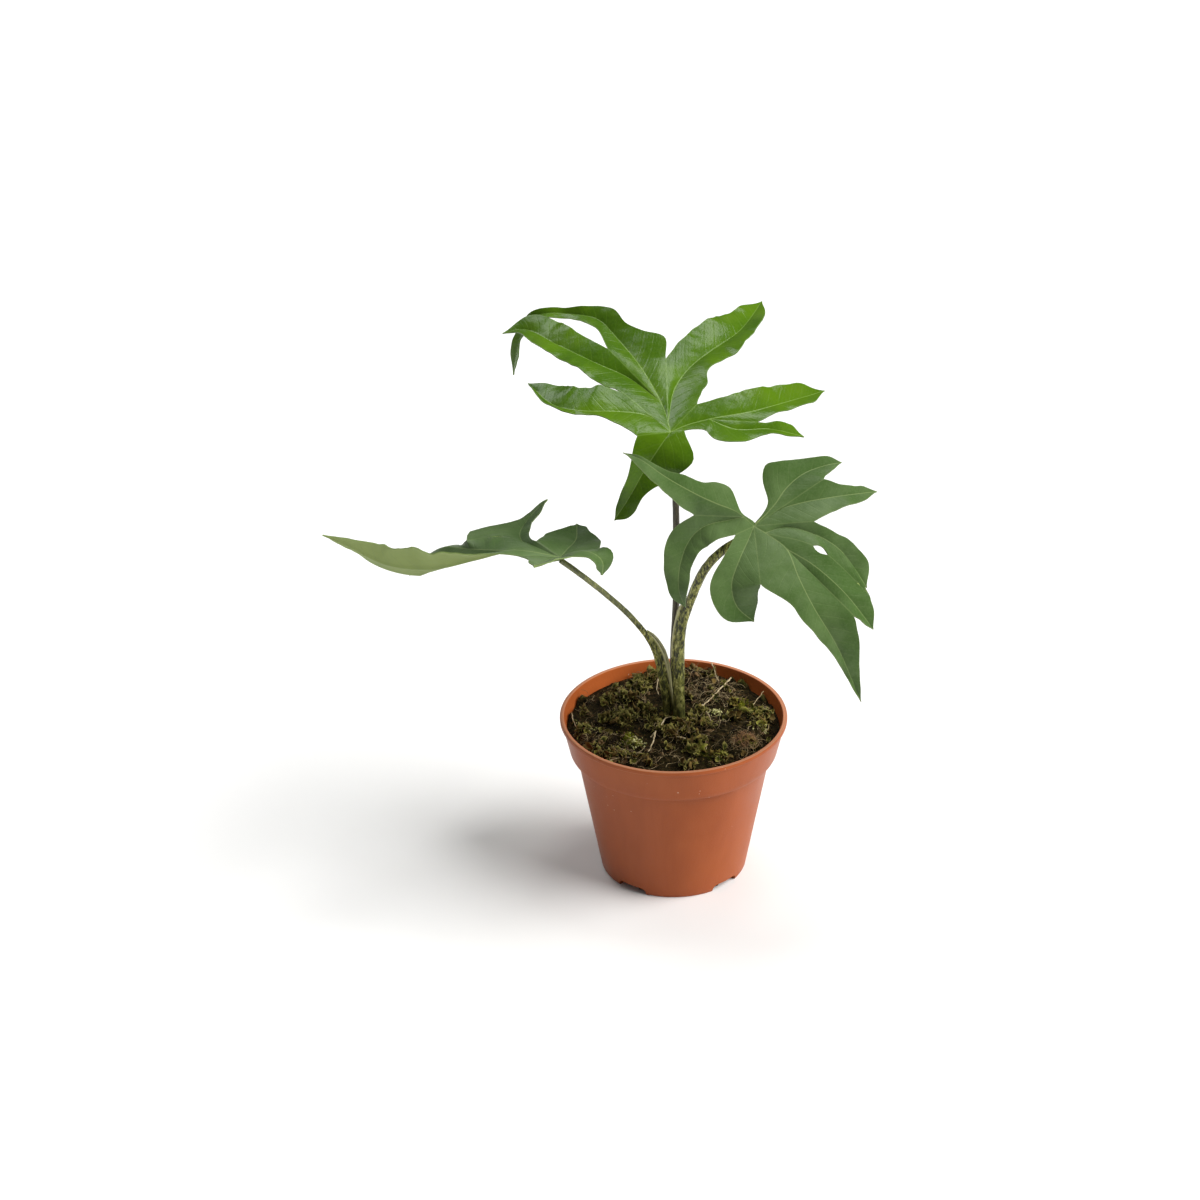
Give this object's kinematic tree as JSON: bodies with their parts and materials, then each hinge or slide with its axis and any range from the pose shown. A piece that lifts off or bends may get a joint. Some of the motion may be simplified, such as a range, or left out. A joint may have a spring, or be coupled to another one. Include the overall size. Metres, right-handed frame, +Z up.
{
  "type": "potted alocasia brancifolia",
  "caption": "Young aroid house plant with deeply lobed leaves on mottled stalks, in a round tapered plastic nursery pot of mossy soil.",
  "frame": {"origin": "centre of the pot's flat underside, on the surface that the pot stands on", "axes": "+Z up along the pot's axis; +X to the right and -Y towards the viewer, with the drooping leaf on the right and the long flat leaf on the left"},
  "size_m": [0.2847, 0.1721, 0.2841],
  "materials": {
    "pot_plastic": "terracotta-coloured moulded plastic, satin, with faint mould marks",
    "soil": "moist peat and bark crumbs under patches of moss, matte",
    "rhizome": "papery ringed stem, matte",
    "petiole_top": "smooth fleshy stalk, brown-green with faint streaks, satin",
    "petiole_mottled": "smooth fleshy stalk, yellow-green with dark mottling, satin",
    "leaf_glossy": "bright green glossy blade with pale ribs",
    "leaf_dull": "blue-green satin blade with pale ribs and a lighter underside"
  },
  "bodies": {
    "root": {"pot": "pot_plastic", "soil": "soil", "rhizome": "rhizome", "petiole_top": "petiole_top", "petiole_right": "petiole_mottled", "petiole_left": "petiole_mottled", "leaf_top": "leaf_glossy", "leaf_right": "leaf_dull", "leaf_left": "leaf_dull"}
  },
  "joints": []
}
